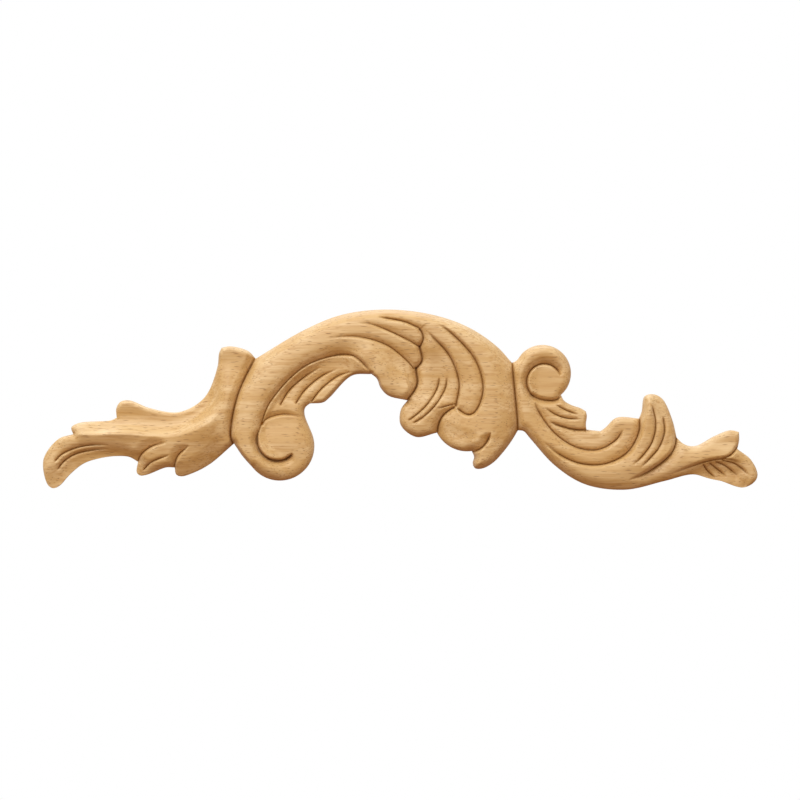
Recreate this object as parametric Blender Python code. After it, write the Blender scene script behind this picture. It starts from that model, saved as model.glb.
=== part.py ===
"""Carved wood applique: an arched leaf spray between two scrolls, cut from one board.

The carved face looks towards -Y, the flat back lies in the plane Y = 0, and Z is up.
The origin is on the back, in the middle of the arch. The face is a height above the
back, worked out in millimetres from three kinds of stroke:

  edges draw the silhouette, and say how far each stretch of it is rounded over,
  crests raise or hollow the wood along a line,
  cuts are the grooves that a gouge or a V tool leaves along a line.

A stroke's profile runs from its line (t = 0) to its reach (t = 1) as (1 - t^a)^b.
"""

from dataclasses import dataclass

import bmesh
import bpy
import numpy as np
from mathutils import Vector
from mathutils.geometry import delaunay_2d_cdt

# The piece from tip to tip, in metres. Everything below is drawn in millimetres for a
# piece of the drawn length, and follows the real length.
LENGTH = 0.300
DRAWN_LENGTH = 300.0
UNIT = LENGTH / DRAWN_LENGTH

# Heights above the back: the upright wall, the plain wood between the crests, how far
# that drops towards the ends, and the least wood left under any cut.
WALL = 4.0
FIELD = 7.9
END_DROP = 1.6
END_DROP_FROM = 85.0
END_DROP_OVER = 60.0
LEAST_WOOD = 2.0

# Crests fade evenly. A cut fades late, and grows narrower by a share of its reach.
CREST_FADE = 1.0
CUT_FADE = 0.6
NARROWING = 0.6

# The face is worked out on a fine net of points, then thinned to this many triangles.
DRAW_STEP = 0.5
LINE_PITCH = 0.9
NET_PITCH = 0.9
RIM_ROWS = (0.2, 0.6, 1.2)
CLEAR_OF_LINES = 0.45
FACE_TRIANGLES = 7400
CURVE_SAMPLES = 24
ROUND_SAMPLES = 96
SAME_POINT = 1e-5

# Profiles (a, b): how the wood leaves a stroke's line.
SLOPE = (1.0, 1.6)
HOLLOW = (1.0, 1.9)
DOME = (2.0, 1.9)
CUSHION = (2.8, 2.0)

COLLECTION = "Carved applique"
PIECE = "carved_applique"
WOOD_COLOUR = (0.62, 0.37, 0.15, 1.0)
WOOD_ROUGHNESS = 0.55


@dataclass(frozen=True)
class Edge:
    """A stretch of the silhouette between two corners, and its rounding radius."""

    rounding: float
    path: np.ndarray


@dataclass(frozen=True)
class Stroke:
    """A crest or a cut: its height or depth, and its reach and profile on each side."""

    amount: float
    left: tuple
    right: tuple
    path: np.ndarray
    fade_in: float = 0.0
    fade_out: float = 0.0


@dataclass(frozen=True)
class Section:
    """One part of the spray. Upper edges run left to right, lower ones right to left."""

    upper: tuple
    lower: tuple
    crests: tuple
    cuts: tuple


def evenly(path, pitch):
    """Points at an even pitch along a polyline, both ends kept."""
    run = np.concatenate([[0.0], np.cumsum(np.linalg.norm(np.diff(path, axis=0), axis=1))])
    count = max(1, round(run[-1] / pitch))
    marks = np.linspace(0.0, run[-1], count + 1)
    return np.column_stack([np.interp(marks, run, path[:, axis]) for axis in (0, 1)])


def smooth(*points):
    """A centripetal Catmull-Rom curve through a few points."""
    given = np.array(points, dtype=float)
    held = np.vstack([2 * given[0] - given[1], given, 2 * given[-1] - given[-2]])
    knots = np.concatenate([[0.0], np.cumsum(np.linalg.norm(np.diff(held, axis=0), axis=1) ** 0.5)])
    pieces = []
    for i in range(len(given) - 1):
        k = knots[i:i + 4]
        p = held[i:i + 4]
        t = np.linspace(k[1], k[2], CURVE_SAMPLES, endpoint=False)[:, None]
        a = [((k[j + 1] - t) * p[j] + (t - k[j]) * p[j + 1]) / (k[j + 1] - k[j]) for j in range(3)]
        b = [((k[j + 2] - t) * a[j] + (t - k[j]) * a[j + 1]) / (k[j + 2] - k[j]) for j in range(2)]
        pieces.append(((k[2] - t) * b[0] + (t - k[1]) * b[1]) / (k[2] - k[1]))
    return evenly(np.vstack(pieces + [given[-1:]]), DRAW_STEP)


def arc(start, via, end):
    """The circular arc through three points."""
    a, b, c = (complex(*point) for point in (start, via, end))
    w = (c - a) / (b - a)
    centre = (b - a) * (w - abs(w) ** 2) / (2j * w.imag) + a
    turn = np.angle((b - centre) / (a - centre)), np.angle((c - centre) / (b - centre))
    angles = np.linspace(0.0, sum(turn), ROUND_SAMPLES)
    round_points = centre + (a - centre) * np.exp(1j * angles)
    return evenly(np.column_stack([round_points.real, round_points.imag]), DRAW_STEP)


def spiral(centre, radii, angles):
    """A turn about a centre whose radius changes evenly from first to last, in degrees."""
    turn = np.radians(np.linspace(*angles, ROUND_SAMPLES))
    reach = np.linspace(*radii, ROUND_SAMPLES)
    points = np.array(centre) + reach[:, None] * np.column_stack([np.cos(turn), np.sin(turn)])
    return evenly(points, DRAW_STEP)


def fan(count, first, last, amount, left, right, fade_in, fade_out):
    """Like strokes spread evenly between a first and a last one."""
    first, last = np.array(first, dtype=float), np.array(last, dtype=float)
    shares = np.linspace(0.0, 1.0, count)
    paths = [smooth(*(first + share * (last - first))) for share in shares]
    return tuple(Stroke(amount, left, right, path, fade_in, fade_out) for path in paths)


def left_leaf():
    """The acanthus leaf that curls down to the left tip, with its two leaflets."""
    upper = (
        Edge(2.6, smooth((-137.1, -37.4), (-137.9, -34.6), (-134.6, -32.7), (-121.2, -31.6),
                         (-118.9, -30.5))),
        Edge(3.5, smooth((-118.9, -30.5), (-119.1, -26.7), (-117.4, -23.9), (-114, -23.2),
                         (-105.2, -26.5), (-92.6, -28.1), (-82.1, -22), (-76.7, -9.2),
                         (-76, -3.4), (-74.9, -1.2))),
        Edge(2.2, smooth((-74.9, -1.2), (-71.2, -0.6), (-64, -2.5), (-60.7, -5.8))),
    )
    lower = (
        Edge(2.6, smooth((-69.8, -41.3), (-80, -50), (-87.2, -53.8), (-91.8, -55.1),
                         (-94, -54.3), (-94.6, -51.4))),
        Edge(2.6, smooth((-94.6, -51.4), (-98.3, -51.4), (-106.5, -54.5), (-109.2, -54.7),
                         (-110.5, -53.4), (-110, -49))),
        Edge(4.0, smooth((-110, -49), (-113.6, -47), (-118.7, -46.6), (-125.8, -47.5),
                         (-133, -49.8), (-138.8, -54.4), (-143, -59), (-145.5, -60.1),
                         (-147.8, -58.6), (-149.6, -48.1), (-143.4, -39.5), (-137.1, -37.4))),
    )
    crests = (
        Stroke(3.4, (8.5, HOLLOW), (9.0, HOLLOW),
               smooth((-145, -42), (-137.1, -38.4), (-128.7, -38.9), (-111.8, -39.1),
                      (-100.1, -38.3), (-90, -35.6), (-82.4, -30.9), (-76.5, -24.6)), 0.2, 0.35),
        Stroke(2.2, (7.5, DOME), (9.0, DOME),
               smooth((-100.1, -38.3), (-90, -35.6), (-82.4, -30.9), (-77, -24.6), (-74, -17.9),
                      (-72.8, -10.3), (-72.5, -1)), 0.5, 0.35),
        Stroke(-1.0, (4.5, DOME), (4.5, DOME),
               smooth((-128.5, -28.5), (-99, -32), (-88.5, -28.5), (-82, -20), (-79, -10)),
               0.3, 0.3),
        Stroke(-1.6, (9.0, DOME), (7.0, DOME),
               smooth((-146, -58), (-133, -49), (-108, -53), (-92, -53), (-76, -47.5)), 0.1, 0.3),
    )
    cuts = (
        *fan(2, ((-145, -49.2), (-142, -46), (-136, -43.2), (-130, -42), (-122, -41.8)),
             ((-144, -52.6), (-141, -48.8), (-136, -45.7), (-128.5, -44), (-121.5, -43.6)),
             1.6, (2.2, SLOPE), (1.8, HOLLOW), 0.1, 0.4),
        Stroke(1.4, (1.8, HOLLOW), (1.6, HOLLOW),
               smooth((-108, -52.8), (-104.5, -49.3), (-96, -45.8)), 0.15, 0.4),
        Stroke(2.8, (4.2, SLOPE), (1.7, HOLLOW),
               smooth((-95, -51.8), (-93.2, -46.6), (-88.2, -42)), 0.0, 0.4),
        Stroke(2.8, (4.2, SLOPE), (1.7, HOLLOW),
               smooth((-110.5, -49.5), (-108.2, -45.6), (-103.6, -42.3), (-97.5, -40.8)),
               0.0, 0.4),
    )
    return Section(upper, lower, crests, cuts)


def arch():
    """The arched band with its scroll, fluted web, leaf fingers, lobes and foot leaf."""
    upper = (
        Edge(4.5, smooth((-60.7, -5.8), (-41, 5.9), (-25, 12.5), (-5.7, 14.8), (14, 12.5),
                         (29, 7.1), (40.3, -0.6), (46.7, -7.5))),
    )
    lower = (
        Edge(3.5, smooth((49.2, -35.8), (46.7, -40), (43, -45), (38.9, -49.3), (34.4, -51.8),
                         (31.2, -51.7), (30.3, -49.6), (30.9, -47), (29.9, -44.5))),
        Edge(4.5, arc((29.9, -44.5), (20.6, -42.6), (15.3, -36.8))),
        Edge(4.0, smooth((15.3, -36.8), (6.5, -38.6), (0.1, -33.6), (0.2, -27), (2.9, -23.3))),
        Edge(4.5, smooth((2.9, -23.3), (-5.1, -21.3), (-8.3, -18.1), (-9.9, -14.2),
                         (-12.2, -12.2))),
        Edge(2.6, smooth((-12.2, -12.2), (-20.4, -12.9), (-29.8, -22.1), (-32.4, -24.1),
                         (-38.1, -24.6))),
        Edge(4.5, smooth((-38.1, -24.6), (-40, -26.3), (-40.3, -28.9), (-37, -37.6))),
        Edge(4.5, arc((-37, -37.6), (-50.4, -56.9), (-61.7, -51.7))),
        Edge(4.5, smooth((-61.7, -51.7), (-66.2, -46.6), (-69.8, -41.3))),
    )
    crests = (
        Stroke(3.7, (13.0, DOME), (9.5, CUSHION),
               smooth((-44, -52), (-49.5, -53), (-57, -50.5), (-64.5, -38), (-58.5, -19.5),
                      (-46, -6), (-30, 2.5), (-12, 7.5)), 0.16, 0.18),
        Stroke(3.7, (13.0, DOME), (21.0, DOME),
               smooth((-30, 2.5), (-12, 7.5), (5, 8.5), (22, 4.5), (36, -8), (41.5, -24),
                      (40, -36), (34, -47.5)), 0.164, 0.0),
        Stroke(1.2, (6.0, DOME), (6.0, DOME),
               smooth((-32, -1), (-20, 0), (-9.5, -3), (-2.5, -10), (0, -19)), 0.4, 0.3),
        Stroke(2.0, (9.5, DOME), (9.5, DOME), smooth((-52, -40.5), (-47, -39.5))),
        Stroke(-1.0, (8.0, DOME), (8.0, DOME),
               smooth((-52.5, -24), (-42, -14.5), (-29.5, -9), (-18.5, -9)), 0.2, 0.2),
        Stroke(-0.8, (6.0, DOME), (6.0, DOME),
               smooth((13, 0), (16, -6.5), (17.5, -15), (15, -25)), 0.3, 0.3),
    )
    cuts = (
        Stroke(3.8, (2.8, HOLLOW), (5.0, SLOPE),
               smooth((-60.7, -5), (-68, -21), (-71, -37), (-70, -42))),
        Stroke(2.8, (4.0, SLOPE), (1.6, HOLLOW),
               smooth((-58, -33), (-54.5, -24), (-40, -9), (-23.5, -4), (-20, -5)), 0.0, 0.12),
        Stroke(3.2, (4.5, HOLLOW), (1.8, SLOPE),
               smooth((-28, -4.4), (-20, -4.5), (-14.5, -9), (-12, -12.5)), 0.35, 0.0),
        Stroke(3.6, (1.7, HOLLOW), (3.8, SLOPE),
               spiral((-50.6, -39.9), (9.9, 7.2), (138, 320)), 0.0, 0.08),
        Stroke(2.2, (3.0, SLOPE), (1.8, HOLLOW),
               smooth((-58, -33.5), (-56, -31), (-48.5, -29), (-40.5, -30.5)), 0.0, 0.5),
        *fan(3, ((-50.5, -25.6), (-46.5, -19), (-39, -12.6), (-33, -9.2)),
             ((-37.6, -24.2), (-33, -18.4), (-25.5, -12.8), (-19.5, -11.2)),
             2.0, (3.2, SLOPE), (1.6, HOLLOW), 0.1, 0.4),
        Stroke(2.3, (3.6, HOLLOW), (2.0, HOLLOW),
               smooth((-31.5, 2.6), (-18.5, 3.4), (-6, 0), (3, -7), (5.5, -10)), 0.4, 0.0),
        Stroke(2.3, (3.6, HOLLOW), (1.8, HOLLOW),
               smooth((-18.5, 9), (-12, 8.5), (4, 1.5), (8, -1)), 0.3, 0.0),
        Stroke(2.1, (2.6, HOLLOW), (1.8, HOLLOW),
               smooth((-9.5, 11.7), (2, 9.5), (7.5, 7.1)), 0.3, 0.0),
        Stroke(2.9, (3.0, HOLLOW), (2.0, SLOPE),
               smooth((7.5, 7.1), (9, 5), (9.5, 2.5), (8, -1)), 0.1, 0.0),
        Stroke(3.0, (3.0, HOLLOW), (2.2, SLOPE),
               smooth((7.9, -0.6), (9, -6.5), (6.5, -10))),
        Stroke(3.6, (3.2, HOLLOW), (3.0, SLOPE),
               smooth((6.4, -9.7), (6.9, -16.8), (2.7, -23.4))),
        Stroke(2.5, (1.8, HOLLOW), (4.0, HOLLOW),
               smooth((11, 5.7), (20.5, -4.7), (24.5, -16), (23.2, -25.6)), 0.25, 0.0),
        Stroke(2.5, (1.8, HOLLOW), (4.0, HOLLOW),
               smooth((15, 9), (21, 5), (31.5, -6.5), (35, -18.5), (31.5, -27.6), (28.5, -29.3),
                      (23.2, -26.4)), 0.2, 0.05),
        Stroke(3.3, (3.6, HOLLOW), (4.5, SLOPE),
               smooth((23.3, -25.8), (20.5, -27.3), (17.5, -30), (15.9, -33.5), (15.3, -37.2)),
               0.1, 0.0),
        *fan(2, ((16.3, -13.6), (15.4, -18), (11.5, -24.5), (7, -29), (3, -31.9)),
             ((19.4, -13.6), (18.8, -18), (14.6, -25.2), (9.5, -30.2), (5, -33)),
             1.4, (1.6, HOLLOW), (1.6, HOLLOW), 0.15, 0.1),
        Stroke(0.9, (1.6, HOLLOW), (1.6, HOLLOW), smooth((15, -26.8), (23.5, -24.5)), 0.5, 0.1),
        Stroke(3.4, (1.8, HOLLOW), (4.2, SLOPE),
               smooth((37.7, -36.6), (36.2, -40.5), (33.4, -43.5), (29.8, -45)), 0.3, 0.0),
    )
    return Section(upper, lower, crests, cuts)


def right_scroll():
    """The scroll at the right, the fan under it, the fin leaf and the forked tail."""
    upper = (
        Edge(3.6, smooth((46.7, -7.5), (48.6, -6.6), (51, -3.6))),
        Edge(3.6, arc((51, -3.6), (71.4, -11.3), (67.2, -21))),
        Edge(2.4, smooth((67.2, -21), (68.5, -23.3), (71.6, -25.2), (75.4, -26.5),
                         (77.7, -27.9))),
        Edge(1.6, smooth((77.7, -27.9), (78.1, -29.8), (77.7, -33), (77.9, -35.5))),
        Edge(1.8, smooth((77.9, -35.5), (83.9, -36.2))),
        Edge(2.4, smooth((83.9, -36.2), (85.9, -34.8), (89.9, -30.9), (92.6, -30.2),
                         (100.1, -30.9))),
        Edge(3.0, smooth((100.1, -30.9), (101.2, -28.1), (102.3, -21.8), (104.4, -20.7),
                         (107.3, -21), (110.2, -23.2), (113.9, -31.5), (115.7, -38.9))),
        Edge(3.0, smooth((115.7, -38.9), (118.2, -41.2), (121.2, -42.4), (124.5, -42.2),
                         (131.7, -38.3), (138.4, -35.8), (141.8, -36.5))),
        Edge(2.2, smooth((141.8, -36.5), (141.9, -39.9), (141.1, -43.6))),
    )
    lower = (
        Edge(2.6, smooth((141.1, -43.6), (146.8, -48.1), (149.6, -54.2), (148.5, -57.2),
                         (143.6, -59.8), (134.5, -57.1))),
        Edge(4.5, smooth((134.5, -57.1), (129.6, -56.1), (122.6, -54.3), (110.5, -57.1),
                         (94.3, -60.7), (77.5, -58.5), (64.9, -50.7), (54.4, -39.2),
                         (51.7, -36.2), (49.2, -35.8))),
    )
    crests = (
        Stroke(1.6, (7.0, DOME), (8.0, DOME),
               smooth((71.3, -11), (69.5, -6.3), (65.5, -3.3), (60.5, -2), (52, -7.5),
                      (51, -16), (54, -33), (70.5, -49.5), (97, -53), (128, -44),
                      (137.5, -40)), 0.1, 0.2),
        Stroke(-1.2, (6.0, DOME), (6.0, DOME),
               smooth((67, -31.5), (75.5, -38), (85, -39), (93, -31.5)), 0.4, 0.5),
        Stroke(-1.5, (4.6, DOME), (5.0, DOME),
               smooth((122, -51.5), (130, -51.8), (139, -53), (144.5, -54.5)), 0.45, 0.1),
    )
    cuts = (
        Stroke(3.4, (3.2, HOLLOW), (4.0, HOLLOW),
               smooth((46.7, -6.5), (47.3, -14), (48.9, -31), (49.2, -36.6))),
        Stroke(3.4, (3.8, SLOPE), (1.6, HOLLOW),
               spiral((60.6, -15.1), (8.2, 6.6), (234, 18)), 0.0, 0.1),
        Stroke(2.8, (1.6, SLOPE), (3.0, HOLLOW),
               smooth((55.2, -21.1), (58, -22.6), (64.5, -23.2), (67.6, -21.5)), 0.0, 0.2),
        Stroke(2.7, (3.4, HOLLOW), (1.8, HOLLOW),
               smooth((56, -23.6), (58, -28.3), (65, -37.4), (74, -43), (82.5, -43.9),
                      (90, -40), (93.2, -35.5)), 0.15, 0.1),
        Stroke(3.2, (3.4, HOLLOW), (1.8, HOLLOW),
               smooth((59.5, -40.5), (67, -46.2), (76, -49.8), (86, -49.7), (95, -45),
                      (99.8, -36.5), (100.1, -30.2)), 0.25, 0.0),
        Stroke(1.2, (1.6, HOLLOW), (1.6, HOLLOW),
               smooth((64.5, -24.8), (69.5, -27.5), (74.5, -29.3)), 0.3, 0.3),
        Stroke(1.5, (1.8, HOLLOW), (1.6, HOLLOW),
               smooth((60.5, -26.3), (64, -28.7), (68.5, -30.5), (75, -31.2)), 0.3, 0.25),
        Stroke(2.3, (1.6, HOLLOW), (3.0, SLOPE),
               smooth((62, -31.8), (65, -33.3), (73, -35.5), (78.5, -35.6)), 0.3, 0.0),
        *fan(2, ((105.2, -25.2), (106.7, -33), (105.2, -40.5), (101.5, -46), (97, -50.5)),
             ((109.8, -29.8), (110.4, -36.5), (108, -43), (104.2, -47.5), (100.5, -51.2)),
             1.6, (2.1, SLOPE), (1.8, HOLLOW), 0.15, 0.25),
        Stroke(3.4, (5.0, HOLLOW), (2.0, HOLLOW),
               smooth((115.6, -38.4), (115, -42.3), (112.5, -46.5), (103.5, -53.3),
                      (95.5, -56.6)), 0.0, 0.4),
        Stroke(2.6, (1.7, SLOPE), (6.0, SLOPE),
               smooth((112, -54.5), (121, -51.2), (130, -48.4), (137.5, -47.9),
                      (143.5, -50.2)), 0.5, 0.35),
        Stroke(2.1, (1.6, SLOPE), (1.6, HOLLOW),
               smooth((133.5, -47.4), (137, -46.8), (139.5, -44.8), (141.3, -42.4)), 0.4, 0.0),
        *fan(4, ((126.4, -49.6), (128.9, -53), (132.2, -55.8)),
             ((133.9, -48.2), (140.1, -49.8), (145.9, -54.6)),
             1.2, (1.5, HOLLOW), (2.0, SLOPE), 0.25, 0.3),
    )
    return Section(upper, lower, crests, cuts)


def along(at, path):
    """For each point: distance to a path, side (+ is left of its travel), share of its length."""
    start, step = path[:-1], np.diff(path, axis=0)
    length = np.linalg.norm(step, axis=1)
    run = np.concatenate([[0.0], np.cumsum(length)])
    offset = at[:, None, :] - start[None]
    share = np.clip((offset * step).sum(2) / length ** 2, 0.0, 1.0)
    gap = offset - share[:, :, None] * step
    distance = np.hypot(gap[:, :, 0], gap[:, :, 1])
    near = distance.argmin(axis=1)
    row = np.arange(len(at))
    side = step[near, 0] * offset[row, near, 1] - step[near, 1] * offset[row, near, 0]
    travelled = (run[near] + share[row, near] * length[near]) / run[-1]
    return distance[row, near], side, travelled


def close_to(at, path, reach):
    """Indices of the points inside a path's bounding box, widened by its reach."""
    low, high = path.min(axis=0) - reach, path.max(axis=0) + reach
    return np.nonzero(((at > low) & (at < high)).all(axis=1))[0]


def eased(share):
    """A smooth step from 0 to 1."""
    held = np.clip(share, 0.0, 1.0)
    return held * held * (3.0 - 2.0 * held)


def swept(stroke, at, power, narrowing):
    """Indices of the points that a stroke reaches, and what it adds or takes off there."""
    near = close_to(at, stroke.path, max(stroke.left[0], stroke.right[0]))
    distance, side, share = along(at[near], stroke.path)
    fade = np.ones(len(near))
    if stroke.fade_in:
        fade *= eased(share / stroke.fade_in) ** power
    if stroke.fade_out:
        fade *= eased((1.0 - share) / stroke.fade_out) ** power
    left = side > 0.0
    reach = np.where(left, stroke.left[0], stroke.right[0])
    a = np.where(left, stroke.left[1][0], stroke.right[1][0])
    b = np.where(left, stroke.left[1][1], stroke.right[1][1])
    t = np.clip(distance / (reach * (1.0 - narrowing + narrowing * fade)), 0.0, 1.0)
    return near, stroke.amount * fade * (1.0 - t ** a) ** b


def carved_height(at, edges, crests, cuts):
    """Height of the carved face above the back.

    The field is level in the middle and drops towards both ends. Crests are added, cuts
    are taken off as the cube root of their summed cubes, so that crossing cuts run
    together, and the rim comes down to the wall in a quarter of an ellipse.
    """
    wood = FIELD - END_DROP * eased((np.abs(at[:, 0]) - END_DROP_FROM) / END_DROP_OVER)
    for stroke in crests:
        near, rise = swept(stroke, at, CREST_FADE, 0.0)
        wood[near] += rise
    cubes = np.zeros(len(at))
    for stroke in cuts:
        near, depth = swept(stroke, at, CUT_FADE, NARROWING)
        cubes[near] += depth ** 3
    wood = np.maximum(wood - np.cbrt(cubes), LEAST_WOOD)
    rim = np.ones(len(at))
    for edge in edges:
        near = close_to(at, edge.path, edge.rounding)
        inward = np.clip(along(at[near], edge.path)[0] / edge.rounding, 0.0, 1.0)
        rim[near] = np.minimum(rim[near], np.sqrt(1.0 - (1.0 - inward) ** 2))
    return np.minimum(wood, WALL) + np.maximum(wood - WALL, 0.0) * rim


def beside(path, offset):
    """A path moved sideways by an offset, + to the left of its travel."""
    ahead = np.gradient(path, axis=0)
    ahead /= np.linalg.norm(ahead, axis=1)[:, None]
    return path + offset * np.column_stack([-ahead[:, 1], ahead[:, 0]])


def inside_mask(at, loop):
    """True for the points inside a closed loop, by counting the edges to their right."""
    start, end = loop, np.roll(loop, -1, axis=0)
    spans = (start[:, 1] > at[:, 1:2]) != (end[:, 1] > at[:, 1:2])
    rise = np.where(end[:, 1] == start[:, 1], 1.0, end[:, 1] - start[:, 1])
    crossing = start[:, 0] + (at[:, 1:2] - start[:, 1]) * (end[:, 0] - start[:, 0]) / rise
    return (spans & (at[:, 0:1] < crossing)).sum(axis=1) % 2 == 1


def inside_by(points, outline, margin):
    """The points inside a closed outline that keep a margin to it."""
    within = points[inside_mask(points, outline)]
    return within[along(within, np.vstack([outline, outline[:1]]))[0] > margin]


def face_points(edges, crests, cuts):
    """The face's net of points, and the edges that its triangles must keep.

    The outline comes first, then the line of every cut and crest. Rows along the rim and
    a staggered lattice fill what is left.
    """
    outline = np.vstack([evenly(edge.path, LINE_PITCH)[:-1] for edge in edges])
    chosen = [outline]
    links = [(i, (i + 1) % len(outline)) for i in range(len(outline))]
    for stroke in cuts + crests:
        path = inside_by(evenly(stroke.path, LINE_PITCH), outline, CLEAR_OF_LINES)
        first = sum(len(part) for part in chosen)
        chosen.append(path)
        links += [(i, i + 1) for i in range(first, first + len(path) - 1)]
    rows = []
    for depth in RIM_ROWS:
        row = np.vstack([beside(evenly(edge.path, LINE_PITCH), -depth) for edge in edges])
        rows.append(inside_by(row, outline, depth * 0.9))
    low, high = outline.min(axis=0), outline.max(axis=0)
    x, z = np.meshgrid(np.arange(low[0], high[0], NET_PITCH),
                       np.arange(low[1], high[1], NET_PITCH * 0.5 * 3.0 ** 0.5))
    x[1::2] += NET_PITCH * 0.5
    lattice = np.column_stack([x.ravel(), z.ravel()])
    net = np.vstack(rows + [inside_by(lattice, outline, RIM_ROWS[-1] + CLEAR_OF_LINES)])
    for stroke in cuts:
        near = close_to(net, stroke.path, CLEAR_OF_LINES)
        crowded = near[along(net[near], stroke.path)[0] < CLEAR_OF_LINES]
        net = np.delete(net, crowded, axis=0)
    return np.vstack(chosen + [net]), links


def carved_face():
    """The carved side as an open mesh, thinned where it is plain and fine where it isn't."""
    sections = (left_leaf(), arch(), right_scroll())
    edges = [edge for section in sections for edge in section.upper]
    edges += [edge for section in reversed(sections) for edge in section.lower]
    crests = [stroke for section in sections for stroke in section.crests]
    cuts = [stroke for section in sections for stroke in section.cuts]

    points, links = face_points(edges, crests, cuts)
    flat, _, faces, _, _, _ = delaunay_2d_cdt(
        [Vector(point) for point in points], links, [], 1, SAME_POINT)
    at = np.array([tuple(point) for point in flat])
    height = carved_height(at, edges, crests, cuts)
    mesh = bpy.data.meshes.new("Face")
    mesh.from_pydata(np.column_stack([at[:, 0], -height, at[:, 1]]) * UNIT, [], faces)

    fine = bpy.data.objects.new("Face", mesh)
    bpy.context.scene.collection.objects.link(fine)
    thinned = fine.modifiers.new("Thinned", "DECIMATE")
    thinned.ratio = FACE_TRIANGLES / len(faces)
    evaluated = fine.evaluated_get(bpy.context.evaluated_depsgraph_get())
    face = bpy.data.meshes.new_from_object(evaluated)
    bpy.data.objects.remove(fine)
    return face


def carved_solid():
    """The whole applique as one closed mesh: carved face, upright wall and flat back."""
    shape = bmesh.new()
    shape.from_mesh(carved_face())
    rim = [edge for edge in shape.edges if edge.is_boundary]
    wall = bmesh.ops.extrude_edge_only(shape, edges=rim)["geom"]
    for corner in wall:
        if isinstance(corner, bmesh.types.BMVert):
            corner.co.y = 0.0
    loop = [item for item in wall if isinstance(item, bmesh.types.BMEdge) and item.is_boundary]
    bmesh.ops.triangle_fill(shape, edges=loop, use_beauty=True)
    bmesh.ops.triangulate(shape, faces=shape.faces[:])
    bmesh.ops.recalc_face_normals(shape, faces=shape.faces[:])
    mesh = bpy.data.meshes.new(PIECE)
    shape.to_mesh(mesh)
    shape.free()
    return mesh


def wood():
    """Pale hardwood, sanded and left unvarnished."""
    material = bpy.data.materials.new("Raw hardwood")
    material.use_nodes = True
    shader = material.node_tree.nodes["Principled BSDF"]
    shader.inputs["Base Color"].default_value = WOOD_COLOUR
    shader.inputs["Roughness"].default_value = WOOD_ROUGHNESS
    shader.inputs["Metallic"].default_value = 0.0
    return material


def main():
    """Clear the scene and put the carved piece in a collection of its own."""
    for item in list(bpy.data.objects):
        bpy.data.objects.remove(item, do_unlink=True)
    collection = bpy.data.collections.new(COLLECTION)
    bpy.context.scene.collection.children.link(collection)
    mesh = carved_solid()
    mesh.materials.append(wood())
    mesh.shade_smooth()
    mesh.set_sharp_from_angle(angle=np.radians(40.0))
    collection.objects.link(bpy.data.objects.new(PIECE, mesh))


main()
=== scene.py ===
"""Looks of the carved wood applique: an arched leaf spray between two scrolls.

The piece is one hardwood board, carved on the front and flat at the back. It stands for the
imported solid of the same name. Its face looks towards -Y and its back lies in the plane Y = 0.
Strokes are drawn in millimetres, as X along the board and Z up, and become metres at the end.
"""

import logging
from dataclasses import dataclass
from enum import Enum
from math import pi, radians, sqrt

import bpy
import numpy as np
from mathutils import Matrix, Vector
from mathutils.geometry import delaunay_2d_cdt

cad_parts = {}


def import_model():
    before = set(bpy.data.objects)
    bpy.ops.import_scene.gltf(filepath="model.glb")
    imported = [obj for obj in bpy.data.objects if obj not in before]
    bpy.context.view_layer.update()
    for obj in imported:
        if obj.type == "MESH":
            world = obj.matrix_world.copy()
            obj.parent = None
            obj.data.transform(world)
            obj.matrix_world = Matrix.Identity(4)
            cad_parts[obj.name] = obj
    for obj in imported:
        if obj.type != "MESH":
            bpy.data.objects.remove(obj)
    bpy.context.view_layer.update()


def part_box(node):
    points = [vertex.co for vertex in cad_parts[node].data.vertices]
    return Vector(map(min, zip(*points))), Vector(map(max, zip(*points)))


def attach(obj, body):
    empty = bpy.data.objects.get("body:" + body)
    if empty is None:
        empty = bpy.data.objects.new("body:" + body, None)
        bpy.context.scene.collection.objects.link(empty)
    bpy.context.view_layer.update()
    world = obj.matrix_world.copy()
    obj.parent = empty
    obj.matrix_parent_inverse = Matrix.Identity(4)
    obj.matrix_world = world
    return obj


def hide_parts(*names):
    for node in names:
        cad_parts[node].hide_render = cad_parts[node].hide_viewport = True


LOG = logging.getLogger("applique")
MM = 0.001
NODE = "carved_applique"
BODY = "root"
# Rows of equilateral triangles are this share of their side apart.
ROW_SHARE = sqrt(0.75)
# The triangulation keeps what is inside the outline, and merges points closer than this.
INSIDE = 1
MERGE_MM = 1e-5
# Blender's wave texture turns through this many radians a unit.
WAVE_RATE = 20.0

Array = np.ndarray
Point = tuple[float, float]
Colour = tuple[float, float, float, float]
Socket = bpy.types.NodeSocket
Tree = bpy.types.NodeTree


class Profile(Enum):
    """How the wood leaves a stroke's line, as (a, b) in (1 - t^a)^b for t from 0 to 1."""

    SLOPE = (1.0, 1.6)
    HOLLOW = (1.0, 1.9)
    DOME = (2.0, 1.9)
    RIDGE = (1.5, 1.8)
    SHOULDER = (2.1, 1.5)

    def sweep(self, t: Array) -> Array:
        """Share of the stroke's amount that is left at t of its reach.

        Args:
            t: Distance from the line as a share of the reach, 0 to 1.

        Returns:
            (1 - t^a)^b for each value.
        """
        a, b = self.value
        return (1.0 - t ** a) ** b


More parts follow.
